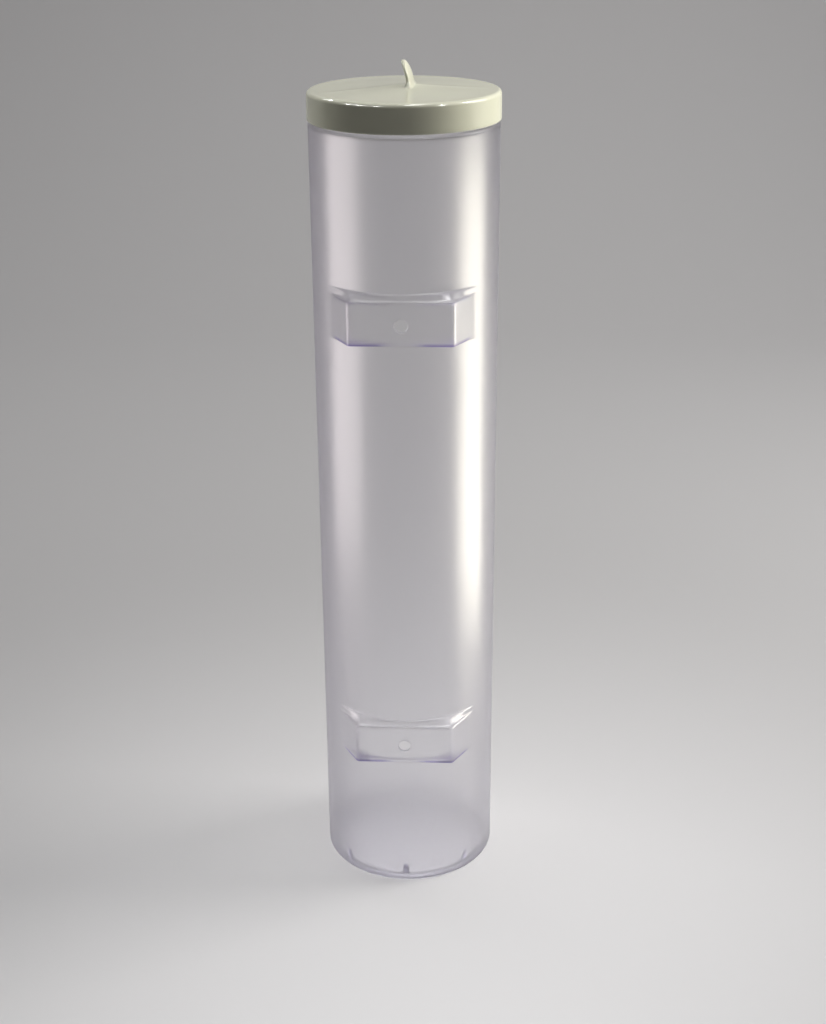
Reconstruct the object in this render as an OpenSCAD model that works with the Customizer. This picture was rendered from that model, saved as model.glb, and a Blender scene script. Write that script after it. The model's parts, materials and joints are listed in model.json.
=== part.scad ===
// Wall-mounting tube for a rolled fire blanket: a see-through blown plastic tube with two
// flat screw pads, closed at the bottom, and a push-on cap with a moulded pull tab.
// The origin is the centre of the foot. +Z runs up the tube and -Y faces the wall.

/* [Tube] */
// Outer diameter of the tube
tube_d = 100; // [90:1:120]
// Height from the foot to the top of the full-width wall
body_h = 439; // [420:0.5:600]
// Thickness of the moulded wall and floor
wall = 1.8; // [1.4:0.1:2.4]
// Rounding of the outer edge of the foot
foot_r = 2.6; // [2:0.1:4]
// How far the floor stands above the ring that the tube rests on
floor_lift = 1.6; // [1:0.1:4]
// Width of the ring that the tube rests on
foot_ring_w = 4; // [3:0.5:8]

/* [Neck] */
// Step from the wall in to the neck, which the cap slides over
neck_step = 1.5; // [1.2:0.1:2]
// Height of the sloped shoulder between the wall and the neck
shoulder_h = 1.4; // [1:0.1:3]
// Height of the neck above the shoulder
neck_h = 13.4; // [9:0.1:20]

/* [Wall pads] */
// Distance between the two screw holes, along the tube
hole_spacing = 250; // [150:5:300]
// Height of the lower screw hole above the foot
lower_hole_z = 94; // [60:1:120]
// Diameter of a screw hole
hole_d = 7; // [4:0.5:8]
// Height of a pad
pad_h = 24; // [16:1:40]
// How far the middle of a pad is above its screw hole
pad_rise = 1; // [-2:0.5:3]
// Width of a pad's flat face
pad_w = 55; // [40:1:60]
// How far a pad's flat face stands proud of the tube, so that the cap clears the wall
pad_proud = 0.5; // [0.5:0.1:3]
// Angle round the tube, from the middle of the pad, at which its wings meet the tube
wing_angle = 49.5; // [45:0.5:55]

/* [Foot ribs] */
// Number of small ribs in the corner between floor and wall
rib_count = 8; // [4:1:12]
// Height of a rib above the floor
rib_h = 8; // [4:0.5:12]
// How far a rib reaches in along the floor
rib_reach = 2.6; // [2:0.1:8]
// Thickness of a rib
rib_t = 2; // [1.5:0.1:3]

/* [Cap] */
// Outer diameter of the cap
cap_d = 101; // [91:0.5:121]
// Height of the cap's skirt, from its lower edge to the rounded top edge
cap_h = 15; // [10:0.5:22]
// Thickness of the cap's roof
roof_t = 1.8; // [1.2:0.1:2.4]
// Thickness of the cap's skirt
skirt_t = 1.6; // [1.2:0.1:2]
// Rounding of the cap's top edge
cap_edge_r = 2.2; // [1.8:0.1:4]
// How far the roof rises to its middle
roof_rise = 2.5; // [1:0.1:5]

/* [Pull tab] */
// Width of the tab at its root
tab_w = 21; // [14:1:30]
// Height of the tab above the middle of the roof
tab_h = 12; // [10:1:30]
// Thickness of the tab at its root
tab_root_t = 3; // [2.4:0.1:4]
// Thickness of the tab at its tip
tab_tip_t = 2.2; // [1.6:0.1:3]
// How far the root stands to the +X side of the tube's axis
tab_offset = 3.4; // [0:0.1:5]
// How far the tip has curled over to the -X side
tab_curl = 3.9; // [0:0.1:8]
// Angle by which the tab is turned about the tube's axis
tab_turn = -4; // [-15:1:15]

/* [Hidden] */
$fn = 96;

tube_r = tube_d / 2;
bore_r = tube_r - wall;
neck_r = tube_r - neck_step;
neck_bore_r = neck_r - wall;
shoulder_z = body_h + shoulder_h;
neck_top_z = shoulder_z + neck_h;
floor_top_z = floor_lift + wall;
floor_r = tube_r - foot_r - foot_ring_w;

pad_y = tube_r + pad_proud;
pad_half_w = pad_w / 2;
wing_x = tube_r * sin(wing_angle);
wing_y = tube_r * cos(wing_angle);
// Angle between a pad's flat face and its wings
wing_turn = atan2(pad_y - wing_y, wing_x - pad_half_w);
pad_mid_z = [lower_hole_z + pad_rise, lower_hole_z + hole_spacing + pad_rise];
hole_z = [lower_hole_z, lower_hole_z + hole_spacing];
// The pad's outline runs on inside the wall, so that pad and tube are one solid
pad_root_scale = (tube_r - wall / 2) / tube_r;

cap_r = cap_d / 2;
cap_bore_r = cap_r - skirt_t;
roof_flat_z = neck_top_z + roof_t;
cap_low_z = roof_flat_z - cap_h;
roof_slope_r = neck_bore_r - 1;
roof_steps = 8;
// The roof's flanks are hollow curves, steepest at the middle
roof_power = 1.6;
tab_steps = 12;
tab_root_z = roof_flat_z + roof_rise - roof_t / 2;
tab_top_z = roof_flat_z + roof_rise + tab_h;
tab_tip_r = tab_w * 0.42;
eps = 0.01;

// Height that the roof adds at a distance r from the axis
function roof_lift(r) = roof_rise * pow(max(0, 1 - r / roof_slope_r), roof_power);

// Sideways place of the tab's middle line, for t from 0 at the root to 1 at the tip
function tab_x(t) = tab_offset - tab_curl * pow(t, 1.7);
function tab_half_t(t) = (tab_root_t + (tab_tip_t - tab_root_t) * t) / 2;
function tab_z(t) = tab_root_z + (tab_top_z - tab_root_z) * t;

// Outside of the plain tube, from the foot to the neck's rim
module tube_outside() {
    translate([0, 0, foot_r])
        cylinder(r = tube_r, h = body_h - foot_r);
    rotate_extrude()
        union() {
            square([tube_r - foot_r, foot_r * 2]);
            translate([tube_r - foot_r, foot_r])
                circle(r = foot_r);
        }
    translate([0, 0, body_h])
        cylinder(r1 = tube_r, r2 = neck_r, h = shoulder_h);
    translate([0, 0, shoulder_z])
        cylinder(r = neck_r, h = neck_h);
}

// Space inside the tube, from the floor to just past the neck's rim
module tube_inside() {
    translate([0, 0, floor_top_z])
        cylinder(r = bore_r, h = body_h - floor_top_z - wall / 2);
    translate([0, 0, body_h - wall / 2 - eps])
        cylinder(r1 = bore_r, r2 = neck_bore_r, h = shoulder_h);
    translate([0, 0, body_h - wall / 2])
        cylinder(r = neck_bore_r, h = neck_top_z - body_h + wall);
}

// Recess under the floor, inside the ring that the tube rests on
module under_floor() {
    translate([0, 0, -eps])
        cylinder(r1 = floor_r, r2 = floor_r - floor_lift, h = floor_lift + eps);
}

// Plan outline of a pad; inset moves its faces in towards the axis by that much
module pad_outline(inset) {
    face_x = pad_half_w - inset * tan(wing_turn / 2);
    face_y = pad_y - inset;
    side_x = face_x + wing_x - pad_half_w;
    side_y = face_y + wing_y - pad_y;
    polygon([
        [-face_x, -face_y],
        [face_x, -face_y],
        [side_x, -side_y],
        [side_x * pad_root_scale, -side_y * pad_root_scale],
        [-side_x * pad_root_scale, -side_y * pad_root_scale],
        [-side_x, -side_y],
    ]);
}

module pad_block(mid_z, inset) {
    height = pad_h - 2 * inset;
    translate([0, 0, mid_z - height / 2])
        linear_extrude(height = height)
            pad_outline(inset);
}

module screw_hole(z) {
    translate([0, -tube_r + wall * 2, z])
        rotate([90, 0, 0])
            cylinder(d = hole_d, h = wall * 4);
}

module foot_rib() {
    rotate([90, 0, 0])
        translate([0, 0, -rib_t / 2])
            linear_extrude(height = rib_t)
                polygon([
                    [bore_r - rib_reach, floor_top_z - wall / 2],
                    [bore_r + wall / 2, floor_top_z - wall / 2],
                    [bore_r + wall / 2, floor_top_z + rib_h],
                    [bore_r - eps, floor_top_z + rib_h],
                    [bore_r - rib_reach, floor_top_z + eps],
                ]);
}

module tube_body() {
    color([0.80, 0.78, 0.88, 0.5]) {
        difference() {
            union() {
                tube_outside();
                for (z = pad_mid_z)
                    pad_block(z, 0);
            }
            tube_inside();
            for (z = pad_mid_z)
                pad_block(z, wall);
            under_floor();
            for (z = hole_z)
                screw_hole(z);
        }
        for (i = [0 : rib_count - 1])
            rotate([0, 0, 90 + i * 360 / rib_count])
                foot_rib();
    }
}

// Half outline of the roof's rise, above a flat top at height z
module roof_hump(z) {
    polygon(concat(
        [[0, z - eps]],
        [for (i = [0 : roof_steps])
            let (r = roof_slope_r * i / roof_steps) [r, z + roof_lift(r)]],
        [[roof_slope_r, z - eps]]
    ));
}

// Half outline of the cap's shell, turned about the axis
module cap_outline() {
    difference() {
        union() {
            translate([0, cap_low_z])
                square([cap_r, cap_h - cap_edge_r]);
            translate([0, cap_low_z])
                square([cap_r - cap_edge_r, cap_h]);
            translate([cap_r - cap_edge_r, roof_flat_z - cap_edge_r])
                circle(r = cap_edge_r);
            roof_hump(roof_flat_z);
        }
        translate([-eps, cap_low_z - eps])
            square([cap_bore_r + eps, neck_top_z - cap_low_z + eps]);
        roof_hump(neck_top_z);
    }
}

// The tab's curled side view, which sets its thickness
module tab_curl_view() {
    linear_extrude(height = tab_w * 2, center = true)
        polygon(concat(
            [for (i = [0 : tab_steps])
                [tab_x(i / tab_steps) - tab_half_t(i / tab_steps), tab_z(i / tab_steps)]],
            [for (i = [tab_steps : -1 : 0])
                [tab_x(i / tab_steps) + tab_half_t(i / tab_steps), tab_z(i / tab_steps)]]
        ));
}

// The tab's face view, a tongue with a round end
module tab_face_view() {
    linear_extrude(height = tab_w * 2, center = true)
        union() {
            translate([0, tab_top_z - tab_tip_r])
                circle(r = tab_tip_r);
            polygon([
                [-tab_w / 2, tab_root_z - eps],
                [tab_w / 2, tab_root_z - eps],
                [tab_tip_r, tab_top_z - tab_tip_r],
                [-tab_tip_r, tab_top_z - tab_tip_r],
            ]);
        }
}

module cap() {
    color([0.86, 0.86, 0.77]) {
        rotate_extrude()
            cap_outline();
        rotate([0, 0, tab_turn])
            intersection() {
                rotate([90, 0, 0])
                    tab_curl_view();
                rotate([90, 0, 90])
                    tab_face_view();
            }
    }
}

tube_body();
cap();
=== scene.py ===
import bmesh
import bpy
import json
import math
import numpy as np
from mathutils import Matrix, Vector

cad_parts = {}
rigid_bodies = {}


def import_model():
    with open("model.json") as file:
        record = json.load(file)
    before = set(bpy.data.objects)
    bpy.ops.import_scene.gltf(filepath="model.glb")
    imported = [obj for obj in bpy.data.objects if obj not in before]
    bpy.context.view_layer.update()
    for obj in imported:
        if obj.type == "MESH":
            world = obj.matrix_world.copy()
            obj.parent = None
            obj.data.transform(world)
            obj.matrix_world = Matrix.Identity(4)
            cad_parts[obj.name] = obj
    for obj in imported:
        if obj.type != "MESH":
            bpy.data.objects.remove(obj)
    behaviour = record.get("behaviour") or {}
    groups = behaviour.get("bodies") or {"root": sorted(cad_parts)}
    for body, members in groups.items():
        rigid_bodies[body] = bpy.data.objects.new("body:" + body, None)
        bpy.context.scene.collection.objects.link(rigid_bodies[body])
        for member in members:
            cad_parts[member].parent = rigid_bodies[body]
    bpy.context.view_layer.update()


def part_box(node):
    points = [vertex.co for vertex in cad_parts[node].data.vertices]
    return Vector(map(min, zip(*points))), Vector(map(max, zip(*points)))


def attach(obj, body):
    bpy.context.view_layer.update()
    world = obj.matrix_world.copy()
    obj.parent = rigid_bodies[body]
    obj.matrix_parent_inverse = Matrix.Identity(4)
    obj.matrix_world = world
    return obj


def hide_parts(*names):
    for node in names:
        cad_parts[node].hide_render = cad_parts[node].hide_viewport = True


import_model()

MM = 0.001
DEG = math.pi / 180

# ---------------------------------------------------------------- sizes, as in the CAD model
TUBE_LOW, TUBE_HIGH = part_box("tube_body")
CAP_LOW, CAP_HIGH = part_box("cap")

TUBE_R = 50.0 * MM
WALL = 1.8 * MM
BORE_R = TUBE_R - WALL
FOOT_R = 2.6 * MM
FLOOR_LIFT = 1.6 * MM
FLOOR_TOP = FLOOR_LIFT + WALL
FOOT_RING_W = 4 * MM
BODY_H = 439 * MM
SHOULDER_H = 1.4 * MM
NECK_STEP = 1.5 * MM
NECK_R = TUBE_R - NECK_STEP
NECK_BORE_R = NECK_R - WALL
NECK_TOP = TUBE_HIGH[2]

PAD_Y = -TUBE_LOW[1]
PAD_HALF_W = 27.5 * MM
PAD_H = 24 * MM
PAD_RISE = 1 * MM
WING_ANGLE = 49.5 * DEG
HOLE_Z = (94 * MM, 344 * MM)
HOLE_R = 3.5 * MM

RIB_COUNT = 8
RIB_H = 8 * MM
RIB_REACH = 2.6 * MM

CAP_R = min(-CAP_LOW[0], CAP_HIGH[0])
SKIRT_T = 1.6 * MM
CAP_LOW_Z = CAP_LOW[2]
ROOF_T = 1.8 * MM
ROOF_Z = NECK_TOP + ROOF_T
ROOF_RISE = 2.5 * MM
ROOF_POWER = 1.6  # the roof's flanks are hollow curves, steepest at the middle
CAP_EDGE_R = 2.2 * MM

TAB_TOP = CAP_HIGH[2]
TAB_W = 21 * MM
TAB_TIP_R = TAB_W * 0.42
TAB_ROOT_T = 3.0 * MM
TAB_TIP_T = 2.2 * MM
TAB_OFFSET = 3.4 * MM
TAB_CURL = 3.9 * MM
TAB_CURL_POWER = 1.7
TAB_TURN = -4 * DEG


# ---------------------------------------------------------------- helpers
def smooth_min(a, b, width):
    h = np.maximum(width - np.abs(a - b), 0) / width
    return np.minimum(a, b) - h * h * width / 4


def smooth_max(a, b, width):
    return -smooth_min(-a, -b, width)


def smoothstep(x):
    x = np.clip(x, 0, 1)
    return x * x * (3 - 2 * x)


def make_object(name, verts, faces, material):
    mesh = bpy.data.meshes.new(name)
    mesh.from_pydata([tuple(v) for v in verts], [], faces)
    mesh.validate()
    bm = bmesh.new()
    bm.from_mesh(mesh)
    bmesh.ops.recalc_face_normals(bm, faces=bm.faces)
    bm.to_mesh(mesh)
    bm.free()
    mesh.shade_smooth()
    mesh.materials.append(material)
    obj = bpy.data.objects.new(name, mesh)
    bpy.context.collection.objects.link(obj)
    return obj


# ---------------------------------------------------------------- tube
# The wall is two nets of points, outside and inside, with the same columns round the axis.
# A row is a pair of lists, the distance from the axis and the height of each column.

HOLE_BLOCK = 5.6 * MM  # half the side of the square patch round a screw hole
PAD_EDGE_HIGH = 1.2 * MM  # rounding of a pad's top edge
PAD_EDGE_LOW = 0.8 * MM  # rounding of a pad's bottom edge
PAD_ROOT_R = 0.7 * MM  # rounding where a pad grows out of the wall
PAD_TOP_RISE = 3.6 * MM  # how far a pad's top face rises towards the wall
PAD_BOTTOM_FALL = 0.2 * MM  # how far its bottom face falls towards the wall
PAD_CORNER_BLEND = 1.5 * MM  # softness of the corner between a pad's face and its wings
PAD_WALL_BLEND = 0.5 * MM  # softness of the corner between a pad's wings and the wall
PAD_WING_END = 57 * DEG  # angle from the pads' middle past which there is only the wall
WAVE_DEPTH = 0.07 * MM  # unevenness of the blown wall
HOLE_EDGE = 0.45 * MM  # rounding of a screw hole's rim
BEAD_DROP = 4.6 * MM  # how far the neck's snap bead is below the rim
BEAD_HALF = 0.9 * MM  # half the height of the bead
BEAD_LIFT = 0.22 * MM  # how far the bead stands proud of the neck
SHOULDER_RUN = SHOULDER_H + 0.9 * MM  # height over which the wall steps in to the neck
FLOOR_RINGS = (8 * MM, 18 * MM, 28 * MM, 36 * MM)  # radii of the rows across the floor
PAINTED_SHADE_HALF = 0.8 * MM  # fade of the painted violet shade above and below a pad's bottom edge
PAINTED_RIB_SHADE = 0.7  # strength of the painted shade on the foot ribs
RIB_FULL = 1.1  # degrees either side of a rib's middle at its full depth
RIB_NONE = 1.6  # degrees either side of a rib's middle where it has ended


def column_angles():
    """Angles round the axis from the pads' middle, closer together at corners and ribs."""
    block = math.atan(HOLE_BLOCK / PAD_Y) / DEG
    near_pad = [0, RIB_FULL, RIB_NONE, 2.9, 4.4, block, 8.5, 11, 14, 17, 20, 22.5, 24.5]
    corner = list(np.arange(26, 31.6, 0.5))
    wing = [33.5, 36, 39, 42, 43.0]
    for rib in range(1, 5):
        middle = rib * 360 / RIB_COUNT
        wing += [middle - RIB_NONE, middle - RIB_FULL, middle, middle + RIB_FULL, middle + RIB_NONE]
    wing_root = list(np.arange(47.5, 53.1, 0.5))
    rest = [56, 59, 62, 65, 68, 71, 74, 77, 80, 83, 86, 94, 97, 100, 103, 106, 109, 112, 115]
    rest += [118, 121, 124, 127, 130.5, 139.5, 142, 145, 148, 151, 154, 157, 160, 163, 166, 169]
    rest += [172, 175.5]
    half = sorted(set(round(a, 4) for a in near_pad + corner + wing + wing_root + rest if a <= 180))
    other = [-a for a in half if 0 < a < 180]
    return np.array(sorted(other) + half)


THETA_DEG = column_angles()
THETA = THETA_DEG * DEG
COLS = len(THETA)
DIRS = np.stack([np.sin(THETA), -np.cos(THETA)], 1)


def pad_reach(wall_r, inset):
    """Distance from the axis to a pad's surface, at each column."""
    wing_x = TUBE_R * math.sin(WING_ANGLE)
    wing_y = TUBE_R * math.cos(WING_ANGLE)
    turn = math.atan2(PAD_Y - wing_y, wing_x - PAD_HALF_W)
    wing_far = PAD_HALF_W * math.sin(turn) + PAD_Y * math.cos(turn) - inset
    angle = np.abs(THETA)
    near = angle < PAD_WING_END
    face = (PAD_Y - inset) / np.cos(np.where(near, angle, 0))
    wing = wing_far / np.cos(np.where(near, angle - turn, 0))
    reach = smooth_min(face, wing, PAD_CORNER_BLEND)
    reach = smooth_max(reach, np.full(COLS, wall_r), PAD_WALL_BLEND)
    return np.where(near, np.maximum(reach, wall_r), wall_r)


def wall_row(radius, z):
    return (np.full(COLS, radius), np.full(COLS, z))


def pad_side(proud, edge_r, slope):
    """A pad's top or bottom face with its hollow root and its rounded edge.

    Each point is a pair, the distance out from the wall and the height towards the pad's middle.
    """
    shrink = np.minimum(1, proud / (edge_r + PAD_ROOT_R))
    arc = np.linspace(0, math.pi / 2, 7)
    side = []
    for a in arc:
        out = shrink * PAD_ROOT_R * (1 - math.cos(a))
        side.append((out, -slope - PAD_ROOT_R * (1 - math.sin(a))))
    for share in (0.25, 0.5, 0.75):
        start = shrink * PAD_ROOT_R
        end = proud - shrink * edge_r
        side.append((start + (end - start) * share, -slope * (1 - share)))
    for a in arc:
        side.append((proud - shrink * edge_r * (1 - math.sin(a)), edge_r * (1 - math.cos(a))))
    return side


def pad_rows(wall_r, inset, mid_z, hole_z):
    """Rows from just below a pad to just above it.

    The two numbers are the first and last row of the patch that holds the screw hole.
    """
    proud = pad_reach(wall_r, inset) - wall_r
    low = mid_z - PAD_H / 2 + inset
    high = mid_z + PAD_H / 2 - inset
    below = pad_side(proud, PAD_EDGE_LOW, PAD_BOTTOM_FALL)
    above = pad_side(proud, PAD_EDGE_HIGH, PAD_TOP_RISE)
    rows = [(wall_r + out, np.full(COLS, low + dz)) for out, dz in below]
    first = low + below[-1][1]
    last = high - above[-1][1]
    patch_low = hole_z - HOLE_BLOCK
    patch_high = hole_z + HOLE_BLOCK
    for z in np.linspace(first, patch_low, 4)[1:]:
        rows.append((wall_r + proud, np.full(COLS, z)))
    start = len(rows) - 1
    for z in np.linspace(patch_low, patch_high, 9)[1:]:
        rows.append((wall_r + proud, np.full(COLS, z)))
    end = len(rows) - 1
    for z in np.linspace(patch_high, last, 4)[1:-1]:
        rows.append((wall_r + proud, np.full(COLS, z)))
    rows += [(wall_r + out, np.full(COLS, high - dz)) for out, dz in reversed(above)]
    return rows, start, end


def wave(z):
    """Slight unevenness of a blown wall, a few hundredths of a millimetre."""
    fade = smoothstep((z - 20 * MM) / (40 * MM)) * smoothstep((BODY_H - 10 * MM - z) / (40 * MM))
    for hole_z in HOLE_Z:
        fade = fade * smoothstep((np.abs(z - hole_z - PAD_RISE) - PAD_H * 0.6) / (25 * MM))
    swell = np.sin(3 * THETA + z * 21) * 0.5 + np.sin(5 * THETA - z * 33 + 1.7) * 0.35
    swell += np.sin(2 * THETA + z * 57 + 0.6) * 0.25
    return swell * WAVE_DEPTH * fade


def wall_rows(wall_r, inset, low_z, high_z):
    """Rows of the straight wall and both pads, from low_z to high_z."""
    rows = []
    patches = []
    z = low_z
    for hole_z in HOLE_Z:
        mid = hole_z + PAD_RISE
        pad, start, end = pad_rows(wall_r, inset, mid, hole_z)
        pad_low = pad[0][1][0]
        for step in np.linspace(z, pad_low, 12)[:-1]:
            rows.append(wall_row(wall_r, step))
        patches.append((len(rows) + start, len(rows) + end))
        rows += pad
        z = pad[-1][1][0] + 3 * MM
    for step in np.linspace(z, high_z, 8):
        rows.append(wall_row(wall_r, step))
    return [(r + wave(h), h) for r, h in rows], patches


def outside_rows():
    """Rows of the outer surface, from the middle of the floor to the neck's rim."""
    floor_r = TUBE_R - FOOT_R - FOOT_RING_W
    rows = [wall_row(r, FLOOR_LIFT) for r in FLOOR_RINGS]
    top = floor_r - FLOOR_LIFT
    rows += [wall_row(top - 0.8 * MM, FLOOR_LIFT), wall_row(top - 0.2 * MM, FLOOR_LIFT - 0.15 * MM)]
    rows += [wall_row(floor_r - 0.5 * MM, 0.4 * MM), wall_row(floor_r + 0.1 * MM, 0.08 * MM)]
    rows += [wall_row(floor_r + 0.8 * MM, 0), wall_row(TUBE_R - FOOT_R - 1 * MM, 0)]
    for a in np.linspace(0, math.pi / 2, 9):
        rows.append(wall_row(TUBE_R - FOOT_R * (1 - math.sin(a)), FOOT_R * (1 - math.cos(a))))
    straight, patches = wall_rows(TUBE_R, 0, FOOT_R + 1 * MM, BODY_H - 1.5 * MM)
    patches = [(a + len(rows), b + len(rows)) for a, b in patches]
    rows += straight
    for share in (0, 0.25, 0.5, 0.75, 1):
        step = smoothstep(np.array(share)) * (TUBE_R - NECK_R)
        rows.append(wall_row(TUBE_R - float(step), BODY_H - 0.6 * MM + share * SHOULDER_RUN))
    bead_z = NECK_TOP - BEAD_DROP
    for share in np.linspace(-1, 1, 9):
        lift = BEAD_LIFT * math.cos(share * math.pi / 2) ** 2
        rows.append(wall_row(NECK_R + lift, bead_z + share * BEAD_HALF))
    lip = WALL / 2
    for a in np.linspace(0, math.pi / 2, 5):
        rows.append(wall_row(NECK_R - lip * (1 - math.cos(a)), NECK_TOP - lip * (1 - math.sin(a))))
    return rows, patches


def corner_path(with_rib):
    """Half section of the inside corner between floor and wall, with or without a rib."""
    inner = BORE_R - RIB_REACH - 1.6 * MM
    upper = FLOOR_TOP + RIB_H + 1.5 * MM
    points = [(inner, FLOOR_TOP)]
    if with_rib:
        points.append((BORE_R - RIB_REACH - 0.3 * MM, FLOOR_TOP))
        points.append((BORE_R - RIB_REACH + 0.3 * MM, FLOOR_TOP + 0.9 * MM))
        points.append((BORE_R - 0.35 * MM, FLOOR_TOP + RIB_H - 0.5 * MM))
        points.append((BORE_R, FLOOR_TOP + RIB_H + 0.3 * MM))
    else:
        corner = 1.8 * MM
        for a in np.linspace(0, math.pi / 2, 7):
            radius = BORE_R - corner * (1 - math.sin(a))
            points.append((radius, FLOOR_TOP + corner * (1 - math.cos(a))))
    points.append((BORE_R, upper))
    points = np.array(points)
    run = np.concatenate([[0], np.cumsum(np.hypot(*np.diff(points, axis=0).T))])
    at = np.linspace(0, run[-1], 22)
    return np.interp(at, run, points[:, 0]), np.interp(at, run, points[:, 1])


def angle_from_rib(degrees):
    """Degrees from the middle of the nearest foot rib."""
    spacing = 360 / RIB_COUNT
    return np.abs((degrees + spacing / 2) % spacing - spacing / 2)


def inside_rows():
    """Rows of the inner surface, from the middle of the floor to the neck's rim."""
    rows = [wall_row(r, FLOOR_TOP) for r in FLOOR_RINGS]
    from_rib = angle_from_rib(THETA_DEG)
    weight = np.clip((RIB_NONE - from_rib) / (RIB_NONE - RIB_FULL), 0, 1)
    plain_r, plain_z = corner_path(False)
    rib_r, rib_z = corner_path(True)
    for i in range(len(plain_r)):
        radius = plain_r[i] + (rib_r[i] - plain_r[i]) * weight
        height = plain_z[i] + (rib_z[i] - plain_z[i]) * weight
        rows.append((radius, height))
    straight, patches = wall_rows(BORE_R, WALL, plain_z[-1] + 3 * MM, BODY_H - 2.6 * MM)
    patches = [(a + len(rows), b + len(rows)) for a, b in patches]
    rows += straight
    for share in (0, 0.25, 0.5, 0.75, 1):
        step = float(smoothstep(np.array(share))) * (BORE_R - NECK_BORE_R)
        rows.append(wall_row(BORE_R - step, BODY_H - 1.6 * MM + share * SHOULDER_RUN))
    rows.append(wall_row(NECK_BORE_R, BODY_H + 6 * MM))
    lip = WALL / 2
    for a in np.linspace(0, math.pi / 2, 5)[:-1]:
        radius = NECK_BORE_R + lip * (1 - math.cos(a))
        rows.append(wall_row(radius, NECK_TOP - lip * (1 - math.sin(a))))
    return rows, patches


def net_points(rows):
    points = []
    for radius, height in rows:
        points.append(np.column_stack([DIRS * radius[:, None], height]))
    return np.array(points)


def net_faces(rows, base, skip):
    """Quads of a net whose first point has the number base.

    skip holds the row and column ranges that are left open.
    """
    faces = []
    for i in range(rows - 1):
        for j in range(COLS):
            if any(r0 <= i < r1 and c0 <= j < c1 for r0, r1, c0, c1 in skip):
                continue
            k = (j + 1) % COLS
            a = base + i * COLS
            faces.append((a + j, a + k, a + COLS + k, a + COLS + j))
    return faces


def patch_ring(row0, row1, col0, col1, base):
    """Numbers of the points round an open patch, in order."""
    ring = [(row0, c) for c in range(col0, col1)]
    ring += [(r, col1) for r in range(row0, row1)]
    ring += [(row1, c) for c in range(col1, col0, -1)]
    ring += [(r, col0) for r in range(row1, row0, -1)]
    return [base + r * COLS + c for r, c in ring]


def hole_circle(points, radius, z, y):
    """Points round a screw hole at the same angles as the points given."""
    angle = np.arctan2(points[:, 2] - z, points[:, 0])
    x = radius * np.cos(angle)
    return np.column_stack([x, np.full(len(points), y), z + radius * np.sin(angle)])


def bridge(a, b):
    """Quads between two closed loops of point numbers."""
    n = len(a)
    return [(a[i], a[(i + 1) % n], b[(i + 1) % n], b[i]) for i in range(n)]


def hole_loops(rim, back, z):
    """Loops from the patch on the pad's face, in through the screw hole, to the patch behind it."""
    face_y = -PAD_Y
    back_y = -PAD_Y + WALL
    front_circle = hole_circle(rim, HOLE_R + HOLE_EDGE, z, face_y)
    back_circle = hole_circle(back, HOLE_R + HOLE_EDGE, z, back_y)
    loops = [rim + (front_circle - rim) * share for share in (0.4, 0.75, 1)]
    for a in (30, 60, 90):
        grow = HOLE_EDGE * (1 - math.sin(a * DEG))
        deep = HOLE_EDGE * (1 - math.cos(a * DEG))
        loops.append(hole_circle(rim, HOLE_R + grow, z, face_y + deep))
    for a in (90, 60, 30):
        grow = HOLE_EDGE * (1 - math.sin(a * DEG))
        deep = HOLE_EDGE * (1 - math.cos(a * DEG))
        loops.append(hole_circle(back, HOLE_R + grow, z, back_y - deep))
    loops += [back + (back_circle - back) * share for share in (1, 0.75, 0.4)]
    return loops


def paint_edge_shade(tube, points, in_base):
    """Paint shade into the colour, in the plastic's violet: a dark line along the pads' bottom edges and
    dark marks on the foot ribs.
    """
    proud = np.hypot(points[:, 0], points[:, 1]) - TUBE_R
    tint = np.zeros(len(points))
    # painted shade: a dark violet band along each pad's bottom edge
    for z in HOLE_Z:
        from_edge = np.abs(points[:, 2] - (z + PAD_RISE - PAD_H / 2 + 0.3 * MM))
        on_edge = smoothstep(1.6 - from_edge / PAINTED_SHADE_HALF)
        tint = np.maximum(tint, on_edge * smoothstep((proud - 0.2 * MM) / (2.2 * MM)))
    # painted shade: dark marks on the foot ribs
    turn = np.arctan2(points[:, 0], -points[:, 1]) / DEG
    in_rib = angle_from_rib(turn) < RIB_FULL + 0.1
    in_rib &= (proud < -WALL - 0.1 * MM) & (proud > -WALL - RIB_REACH - 0.5 * MM)
    in_rib &= (points[:, 2] > FLOOR_TOP + 0.4 * MM) & (points[:, 2] < FLOOR_TOP + RIB_H + 0.5 * MM)
    tint[in_rib & (np.arange(len(points)) >= in_base)] = PAINTED_RIB_SHADE
    layer = tube.data.attributes.new("painted_edge_shade", "FLOAT", "POINT")
    layer.data.foreach_set("value", tint.astype(np.float32))


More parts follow.
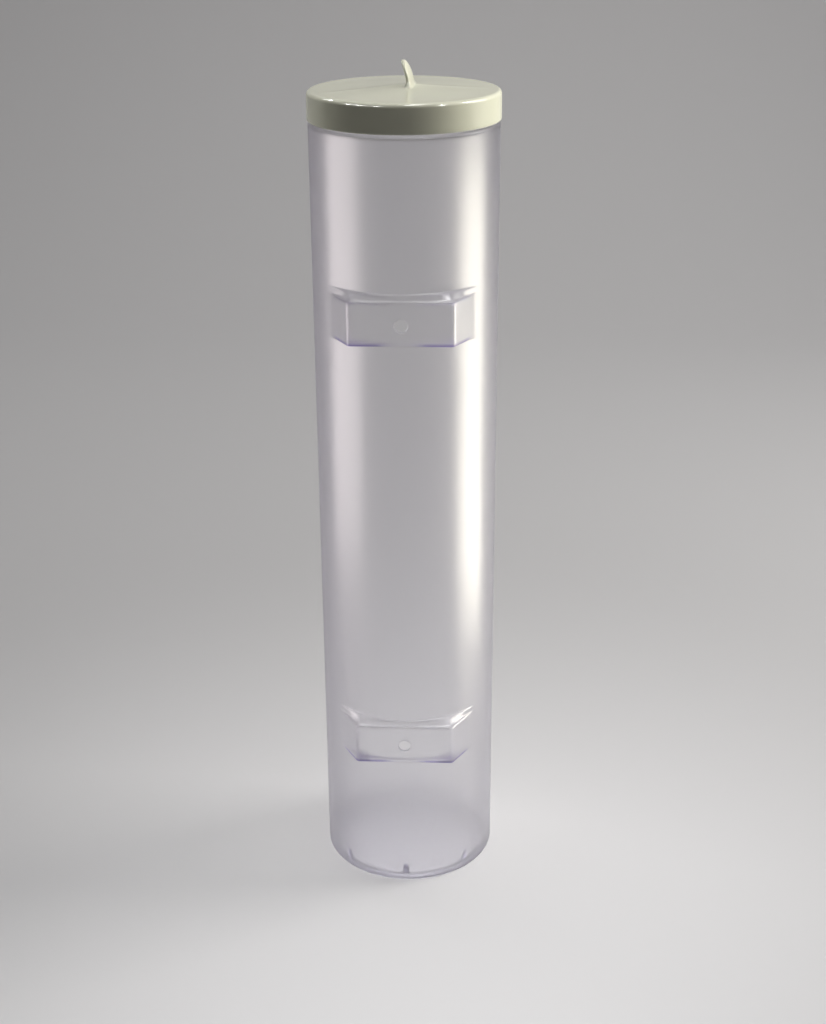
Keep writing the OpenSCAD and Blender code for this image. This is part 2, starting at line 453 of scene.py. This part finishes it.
def build_tube(material):
    out_rows, out_patches = outside_rows()
    in_rows, in_patches = inside_rows()
    out_net = net_points(out_rows)
    in_net = net_points(in_rows)
    verts = list(out_net.reshape(-1, 3)) + list(in_net.reshape(-1, 3))
    in_base = len(out_rows) * COLS
    block = math.atan(HOLE_BLOCK / PAD_Y) / DEG
    col0 = int(np.argmin(np.abs(THETA_DEG + block)))
    col1 = int(np.argmin(np.abs(THETA_DEG - block)))
    faces = net_faces(len(out_rows), 0, [(a, b, col0, col1) for a, b in out_patches])
    faces += net_faces(len(in_rows), in_base, [(a, b, col0, col1) for a, b in in_patches])
    for j in range(COLS):
        k = (j + 1) % COLS
        a = (len(out_rows) - 1) * COLS
        b = in_base + (len(in_rows) - 1) * COLS
        faces.append((a + j, a + k, b + k, b + j))
    for base, z in ((0, FLOOR_LIFT), (in_base, FLOOR_TOP)):
        pole = len(verts)
        verts.append((0, 0, z))
        faces += [(pole, base + j, base + (j + 1) % COLS) for j in range(COLS)]
    for z, outer, inner in zip(HOLE_Z, out_patches, in_patches):
        ring = patch_ring(outer[0], outer[1], col0, col1, 0)
        last = patch_ring(inner[0], inner[1], col0, col1, in_base)
        rim = np.array([verts[i] for i in ring])
        back = np.array([verts[i] for i in last])
        for loop in hole_loops(rim, back, z):
            numbers = list(range(len(verts), len(verts) + len(loop)))
            verts += list(loop)
            faces += bridge(ring, numbers)
            ring = numbers
        faces += bridge(ring, last)
    tube = make_object("tube_shell", verts, faces, material)
    paint_edge_shade(tube, np.array(verts), in_base)
    return tube


# ---------------------------------------------------------------- cap
CAP_N = 160  # points round each loop of the cap
ROOF_R = NECK_BORE_R - 1 * MM
TAB_H = TAB_TOP - ROOF_Z - ROOF_RISE
TAB_FLARE = 2.0 * MM  # how far the tab's root spreads into the roof
TAB_SQUARENESS = 3.2  # power of the rounded oblong that is the tab's section
TAB_TIP_EDGE = 1.1 * MM  # height over which the tab's tip is rounded off
TAB_THINNEST = 0.05 * MM
CREASES = ((200 * DEG, 1.0), (4 * DEG, 0.8))  # direction and strength of each ridge on the roof
CREASE_H = 0.42 * MM
CREASE_HALF_W = 2.6 * MM
INNER_CORNER_R = 0.5 * MM


def roof_height(x, y):
    """Height of the cap's roof above its flat rim."""
    far = np.hypot(x - TAB_OFFSET * 0.5, y)
    rise = ROOF_RISE * np.maximum(0, 1 - far / ROOF_R) ** ROOF_POWER
    for angle, strength in CREASES:
        along = x * math.cos(angle) + y * math.sin(angle)
        across = -x * math.sin(angle) + y * math.cos(angle)
        fade = smoothstep(along / (6 * MM)) * smoothstep((ROOF_R + 1 * MM - along) / (18 * MM))
        rise = rise + CREASE_H * strength * fade * np.exp(-np.abs(across) / CREASE_HALF_W)
    return rise


def tab_outline(half_t, half_w, middle_x):
    """Rounded oblong round the tab at one height, turned with the tab."""
    angle = np.linspace(0, 2 * math.pi, CAP_N, endpoint=False)
    power = 2 / TAB_SQUARENESS
    x = np.sign(np.cos(angle)) * np.abs(np.cos(angle)) ** power * half_t + middle_x
    y = np.sign(np.sin(angle)) * np.abs(np.sin(angle)) ** power * half_w
    c, s = math.cos(TAB_TURN), math.sin(TAB_TURN)
    return np.column_stack([x * c - y * s, x * s + y * c])


def circle_outline(radius):
    angle = np.linspace(0, 2 * math.pi, CAP_N, endpoint=False)
    return np.column_stack([np.cos(angle) * radius, np.sin(angle) * radius])


def tab_loops():
    """Outlines and heights from the flared root of the tab up to its tip."""
    heights = [TAB_FLARE * (1 - math.cos(a)) for a in np.linspace(0, math.pi / 2, 9)]
    heights += list(np.linspace(TAB_FLARE, TAB_H - TAB_TIP_R, 5)[1:])
    heights += [TAB_H - TAB_TIP_R + TAB_TIP_R * math.sin(a) for a in np.linspace(0, math.pi / 2, 15)[1:]]
    loops = []
    for h in heights:
        t = h / TAB_H
        half_w = TAB_W / 2 + (TAB_TIP_R - TAB_W / 2) * min(1, h / (TAB_H - TAB_TIP_R))
        if h > TAB_H - TAB_TIP_R:
            half_w = math.sqrt(max(0, TAB_TIP_R ** 2 - (h - TAB_H + TAB_TIP_R) ** 2))
        half_t = (TAB_ROOT_T + (TAB_TIP_T - TAB_ROOT_T) * t) / 2
        if h > TAB_H - TAB_TIP_EDGE:
            half_t *= math.sqrt(max(0, 1 - ((h - TAB_H + TAB_TIP_EDGE) / TAB_TIP_EDGE) ** 2))
        flare = 0.0
        if h < TAB_FLARE:
            flare = TAB_FLARE * (1 - math.sqrt(1 - (1 - h / TAB_FLARE) ** 2))
        middle = TAB_OFFSET - TAB_CURL * t ** TAB_CURL_POWER
        half_w = max(half_w, TAB_THINNEST)
        half_t = max(half_t, TAB_THINNEST)
        outline = tab_outline(half_t + flare * 0.7, half_w + flare, middle)
        base = roof_height(outline[:, 0], outline[:, 1])
        level = base + (ROOF_RISE - base) * smoothstep(h / (9 * MM))
        loops.append(np.column_stack([outline, ROOF_Z + level + h]))
    return loops


def build_cap(material):
    loops = []
    bore = CAP_R - SKIRT_T

    def ring(radius, z):
        loops.append(np.column_stack([circle_outline(radius), np.full(CAP_N, z)]))

    for radius in (6, 12, 18, 24, 30, 36, 41, 45):
        flat = circle_outline(radius * MM)
        lift = ROOF_RISE * max(0, 1 - radius * MM / ROOF_R) ** ROOF_POWER
        loops.append(np.column_stack([flat, np.full(CAP_N, NECK_TOP + lift)]))
    for a in np.linspace(0, math.pi / 2, 4):
        ring(bore - INNER_CORNER_R * (1 - math.sin(a)), NECK_TOP - INNER_CORNER_R * (1 - math.cos(a)))
    ring(bore, CAP_LOW_Z + 5 * MM)
    ring(bore, CAP_LOW_Z + 1.2 * MM)
    lip = SKIRT_T / 2
    for a in np.linspace(0, math.pi, 9):
        ring(bore + lip - lip * math.cos(a), CAP_LOW_Z + lip * 0.8 * (1 - math.sin(a)))
    ring(CAP_R, CAP_LOW_Z + 2.0 * MM)
    ring(CAP_R - 0.05 * MM, ROOF_Z - CAP_EDGE_R - 2.5 * MM)
    edge_r = CAP_R - 0.12 * MM
    for a in np.linspace(0, math.pi / 2, 10):
        ring(edge_r - CAP_EDGE_R * (1 - math.cos(a)), ROOF_Z - CAP_EDGE_R * (1 - math.sin(a)))
    tab = tab_loops()
    root = tab[0][:, :2]
    rim = circle_outline(edge_r - CAP_EDGE_R)
    for share in np.linspace(0, 1, 27)[1:-1]:
        flat = rim + (root - rim) * share
        loops.append(np.column_stack([flat, ROOF_Z + roof_height(flat[:, 0], flat[:, 1])]))
    loops += tab
    verts = list(np.concatenate(loops))
    faces = []
    for i in range(len(loops) - 1):
        a = list(range(i * CAP_N, (i + 1) * CAP_N))
        faces += bridge(a, [k + CAP_N for k in a])
    inner_pole = (0, (0, 0, NECK_TOP + ROOF_RISE))
    tab_pole = ((len(loops) - 1) * CAP_N, loops[-1].mean(0))
    for first, point in (inner_pole, tab_pole):
        pole = len(verts)
        verts.append(point)
        faces += [(pole, first + j, first + (j + 1) % CAP_N) for j in range(CAP_N)]
    return make_object("cap_shell", verts, faces, material)


# ---------------------------------------------------------------- materials
PLASTIC_IOR = 1.5
CLEAR = (0.995, 0.993, 0.998, 1)
# dark violet of the painted shade under the pads and on the foot ribs
PAINTED_SHADE_VIOLET = (0.26, 0.20, 0.60, 1)
ABSORPTION_VIOLET = (0.34, 0.26, 0.80, 1)
ABSORPTION_DENSITY = 16.0
FROST_ROUGHNESS = (0.27, 0.37)
CREAM_DARK = (0.52, 0.52, 0.415, 1)
CREAM_LIGHT = (0.555, 0.555, 0.44, 1)
GLOSS_ROUGHNESS = (0.12, 0.2)
PAPER_COLOUR = (0.72, 0.715, 0.72, 1)
PAPER_ROUGHNESS = 0.9


def new_material(name):
    material = bpy.data.materials.new(name)
    material.use_nodes = True
    tree = material.node_tree
    shader = tree.nodes["Principled BSDF"]
    return material, tree, shader


def add_node(tree, kind, **values):
    node = tree.nodes.new(kind)
    for key, value in values.items():
        if hasattr(node, key):
            setattr(node, key, value)
        else:
            node.inputs[key].default_value = value
    return node


def frosted_plastic():
    material, tree, shader = new_material("frosted_plastic")
    # the base colour turns dark violet where the painted shade lies
    edge = add_node(tree, "ShaderNodeAttribute", attribute_name="painted_edge_shade")
    colour = add_node(tree, "ShaderNodeMixRGB")
    colour.inputs[1].default_value = CLEAR
    colour.inputs[2].default_value = PAINTED_SHADE_VIOLET
    tree.links.new(edge.outputs["Fac"], colour.inputs[0])
    tree.links.new(colour.outputs[0], shader.inputs["Base Color"])
    shader.inputs["Transmission Weight"].default_value = 1.0
    shader.inputs["IOR"].default_value = PLASTIC_IOR
    place = add_node(tree, "ShaderNodeTexCoord")
    grain = add_node(tree, "ShaderNodeTexNoise", Scale=1400.0, Detail=3.0, Roughness=0.6)
    streak_map = add_node(tree, "ShaderNodeMapping")
    streak_map.inputs["Scale"].default_value = (90, 90, 6)
    streak = add_node(tree, "ShaderNodeTexNoise", Scale=1.0, Detail=4.0, Roughness=0.6)
    rough = add_node(tree, "ShaderNodeMapRange")
    rough.inputs["To Min"].default_value, rough.inputs["To Max"].default_value = FROST_ROUGHNESS
    bump = add_node(tree, "ShaderNodeBump", Strength=0.25, Distance=0.00005)
    tree.links.new(place.outputs["Object"], grain.inputs["Vector"])
    tree.links.new(place.outputs["Object"], streak_map.inputs["Vector"])
    tree.links.new(streak_map.outputs[0], streak.inputs["Vector"])
    tree.links.new(streak.outputs["Fac"], rough.inputs["Value"])
    tree.links.new(rough.outputs[0], shader.inputs["Roughness"])
    tree.links.new(grain.outputs["Fac"], bump.inputs["Height"])
    tree.links.new(bump.outputs[0], shader.inputs["Normal"])
    tint = add_node(tree, "ShaderNodeVolumeAbsorption", Density=ABSORPTION_DENSITY)
    tint.inputs["Color"].default_value = ABSORPTION_VIOLET
    tree.links.new(tint.outputs[0], tree.nodes["Material Output"].inputs["Volume"])
    return material


def cream_plastic():
    material, tree, shader = new_material("cream_plastic")
    shader.inputs["IOR"].default_value = PLASTIC_IOR
    place = add_node(tree, "ShaderNodeTexCoord")
    cloud = add_node(tree, "ShaderNodeTexNoise", Scale=30.0, Detail=3.0)
    colour = add_node(tree, "ShaderNodeMixRGB")
    colour.inputs[1].default_value = CREAM_DARK
    colour.inputs[2].default_value = CREAM_LIGHT
    fine = add_node(tree, "ShaderNodeTexNoise", Scale=700.0, Detail=2.0)
    rough = add_node(tree, "ShaderNodeMapRange")
    rough.inputs["To Min"].default_value, rough.inputs["To Max"].default_value = GLOSS_ROUGHNESS
    bump = add_node(tree, "ShaderNodeBump", Strength=0.12, Distance=0.00008)
    tree.links.new(place.outputs["Object"], cloud.inputs["Vector"])
    tree.links.new(place.outputs["Object"], fine.inputs["Vector"])
    tree.links.new(cloud.outputs["Fac"], colour.inputs[0])
    tree.links.new(colour.outputs[0], shader.inputs["Base Color"])
    tree.links.new(cloud.outputs["Fac"], rough.inputs["Value"])
    tree.links.new(rough.outputs[0], shader.inputs["Roughness"])
    tree.links.new(fine.outputs["Fac"], bump.inputs["Height"])
    tree.links.new(bump.outputs[0], shader.inputs["Normal"])
    return material


def paper():
    material, tree, shader = new_material("pale_paper")
    shader.inputs["Base Color"].default_value = PAPER_COLOUR
    shader.inputs["Roughness"].default_value = PAPER_ROUGHNESS
    return material


# ---------------------------------------------------------------- set, light and camera
SWEEP_HALF_W = 2.4
SWEEP_FRONT = -2.2
SWEEP_BACK = 1.45
SWEEP_BEND = 0.4  # radius of the curve between floor and backdrop
SWEEP_TOP = 2.6

CAMERA_LENS = 55.7
CAMERA_SENSOR = 36.0
CAMERA_PITCH = 0.4073  # radians down from level
CAMERA_YAW = 0.0039
CAMERA_ROLL = -0.0066
CAMERA_BACK = 16.664 * TUBE_R
CAMERA_UP = 11.565 * TUBE_R
VIEW_TURN = 3.0 * DEG  # the object stands turned by this much to the left of the camera

WHITE = (1.0, 1.0, 1.0)
CAP_MIDDLE = (0, 0, 0.45)
# For each area light: its place, what it points at, its size, its power in watts and its colour.
AREA_LIGHTS = {
    "key_right": ((0.95, 0.25, 0.95), (0, 0, 0.1), (0.5, 0.5), 6.0, (1.0, 0.98, 0.95)),
    "overhead": ((0.15, -0.1, 1.5), (0, 0, 0), (0.9, 0.9), 2.2, WHITE),
    "backdrop_light": ((-0.1, 0.45, 2.0), (0, 1.45, 0.6), (1.6, 0.4), 11.0, (1.0, 0.99, 0.98)),
    "card_right": ((0.37, -0.02, 0.18), (0, -0.02, 0.18), (0.25, 0.38), 4.6, (1.0, 0.95, 0.83)),
    "card_left": ((-0.42, -0.12, 0.28), (0, -0.02, 0.28), (0.36, 0.5), 3.6, (1.0, 0.91, 0.91)),
    "cap_right": ((0.45, 0.08, 0.45), CAP_MIDDLE, (0.25, 0.2), 2.9, (1.0, 0.98, 0.92)),
    "cap_left": ((-0.45, 0.22, 0.45), CAP_MIDDLE, (0.2, 0.2), 1.2, WHITE),
}
# The small lamps that make the row of reflections on the cap's edge.
LAMP_PLACES = (
    (-0.65, 0.54), (-0.81, -0.22), (-0.7, -0.46), (-0.46, -0.7), (0.69, -0.48), (0.84, 0.07),
)
LAMP_Z = 1.15
LAMP_SIZE = (0.05, 0.05)
LAMP_POWER = 6.0
POOL_PLACE = (0.3, -0.15, 3.0)
POOL_TARGET = (0.02, -0.17, 0)
POOL_CONE = 16 * DEG
POOL_SOFT = 0.25
POOL_POWER = 205
ROOM_COLOUR = (0.5, 0.49, 0.5, 1)
ROOM_STRENGTH = 0.12


def make_sweep(material):
    """A pale floor that curves up into a backdrop behind the object."""
    section = [(SWEEP_FRONT, 0.0), (0.0, 0.0), (SWEEP_BACK - SWEEP_BEND, 0.0)]
    for a in np.linspace(0, math.pi / 2, 17)[1:]:
        y = SWEEP_BACK - SWEEP_BEND + SWEEP_BEND * math.sin(a)
        section.append((y, SWEEP_BEND * (1 - math.cos(a))))
    section.append((SWEEP_BACK, SWEEP_TOP))
    verts = []
    for y, z in section:
        verts += [(-SWEEP_HALF_W, y, z), (SWEEP_HALF_W, y, z)]
    faces = [(2 * i, 2 * i + 1, 2 * i + 3, 2 * i + 2) for i in range(len(section) - 1)]
    obj = make_object("paper_sweep", verts, faces, material)
    return obj


def place_light(name, data, place, target):
    obj = bpy.data.objects.new(name, data)
    obj.location = place
    obj.rotation_euler = (Vector(target) - Vector(place)).to_track_quat("-Z", "Y").to_euler()
    bpy.context.collection.objects.link(obj)
    return obj


def area_light(name, place, target, size, power, colour):
    data = bpy.data.lights.new(name, "AREA")
    data.shape = "RECTANGLE"
    data.size, data.size_y = size
    data.energy = power
    data.color = colour
    return place_light(name, data, place, target)


def turned(v):
    """A place or direction, turned about the tube's axis by the angle of the view."""
    c, s = math.cos(VIEW_TURN), math.sin(VIEW_TURN)
    return Vector((v.x * c - v.y * s, v.x * s + v.y * c, v.z))


def make_camera():
    """The main view, from in front of the pads and looking down at the tube."""
    data = bpy.data.cameras.new("camera")
    data.lens = CAMERA_LENS
    data.sensor_width = CAMERA_SENSOR
    data.clip_end = 50
    obj = bpy.data.objects.new("camera", data)
    level = math.cos(CAMERA_PITCH)
    look = Vector((math.sin(CAMERA_YAW) * level, math.cos(CAMERA_YAW) * level, -math.sin(CAMERA_PITCH)))
    right = look.cross(Vector((0, 0, 1))).normalized()
    up = right.cross(look)
    rolled_right = right * math.cos(CAMERA_ROLL) + up * math.sin(CAMERA_ROLL)
    rolled_up = up * math.cos(CAMERA_ROLL) - right * math.sin(CAMERA_ROLL)
    matrix = obj.matrix_world.copy()
    for column, axis in enumerate((turned(rolled_right), turned(rolled_up), turned(-look))):
        for row in range(3):
            matrix[row][column] = axis[row]
    matrix.translation = turned(Vector((0, -CAMERA_BACK, CAMERA_UP)))
    obj.matrix_world = matrix
    bpy.context.collection.objects.link(obj)
    bpy.context.scene.camera = obj


def spot_light(name, place, target, cone, soft, power):
    data = bpy.data.lights.new(name, "SPOT")
    data.spot_size = cone
    data.spot_blend = 1.0
    data.shadow_soft_size = soft
    data.energy = power
    return place_light(name, data, place, target)


def only(name, obj):
    """A collection that holds one object, for a light that is linked to it."""
    collection = bpy.data.collections.new(name)
    collection.objects.link(obj)
    return collection


def make_lights(tube, cap, floor):
    lights = {name: area_light(name, *facts) for name, facts in AREA_LIGHTS.items()}
    lamps = []
    for x, y in LAMP_PLACES:
        lamps.append(area_light("lamp", (x, y, LAMP_Z), CAP_MIDDLE, LAMP_SIZE, LAMP_POWER, WHITE))
    pool = spot_light("floor_pool", POOL_PLACE, POOL_TARGET, POOL_CONE, POOL_SOFT, POOL_POWER)
    world = bpy.data.worlds.new("room")
    world.use_nodes = True
    background = world.node_tree.nodes["Background"]
    background.inputs[0].default_value = ROOM_COLOUR
    background.inputs[1].default_value = ROOM_STRENGTH
    bpy.context.scene.world = world
    for obj in bpy.data.objects:
        if obj.type == "LIGHT":
            obj.visible_camera = False
    only_cap = only("only_cap", cap)
    only_tube = only("only_tube", tube)
    only_floor = only("only_floor", floor)
    # Two cards stand close to the tube for its long highlights and light nothing else.
    for name in ("card_right", "card_left"):
        lights[name].light_linking.receiver_collection = only_tube
        lights[name].visible_transmission = False
    # Two more shade the cap's skirt without a reflection, and the lamps only make reflections.
    for name in ("cap_right", "cap_left"):
        lights[name].light_linking.receiver_collection = only_cap
        lights[name].visible_glossy = False
    for lamp in lamps:
        lamp.light_linking.receiver_collection = only_cap
        lamp.visible_diffuse = False
    # The pool of light on the floor passes through the clear tube, so the tube doesn't block it.
    pool.light_linking.blocker_collection = only_floor


# ---------------------------------------------------------------- put together
make_camera()
sweep = make_sweep(paper())

tube = build_tube(frosted_plastic())
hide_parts("tube_body")
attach(tube, "tube")

cap = build_cap(cream_plastic())
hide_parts("cap")
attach(cap, "cap")

make_lights(tube, cap, sweep)

# Light needs many steps to find its way through the two walls and the floor of the tube.
CLEAR_BOUNCES = 32
GLOSSY_BOUNCES = 12
bpy.context.scene.cycles.max_bounces = CLEAR_BOUNCES
bpy.context.scene.cycles.transmission_bounces = CLEAR_BOUNCES
bpy.context.scene.cycles.glossy_bounces = GLOSSY_BOUNCES
bpy.context.scene.view_settings.view_transform = "Standard"
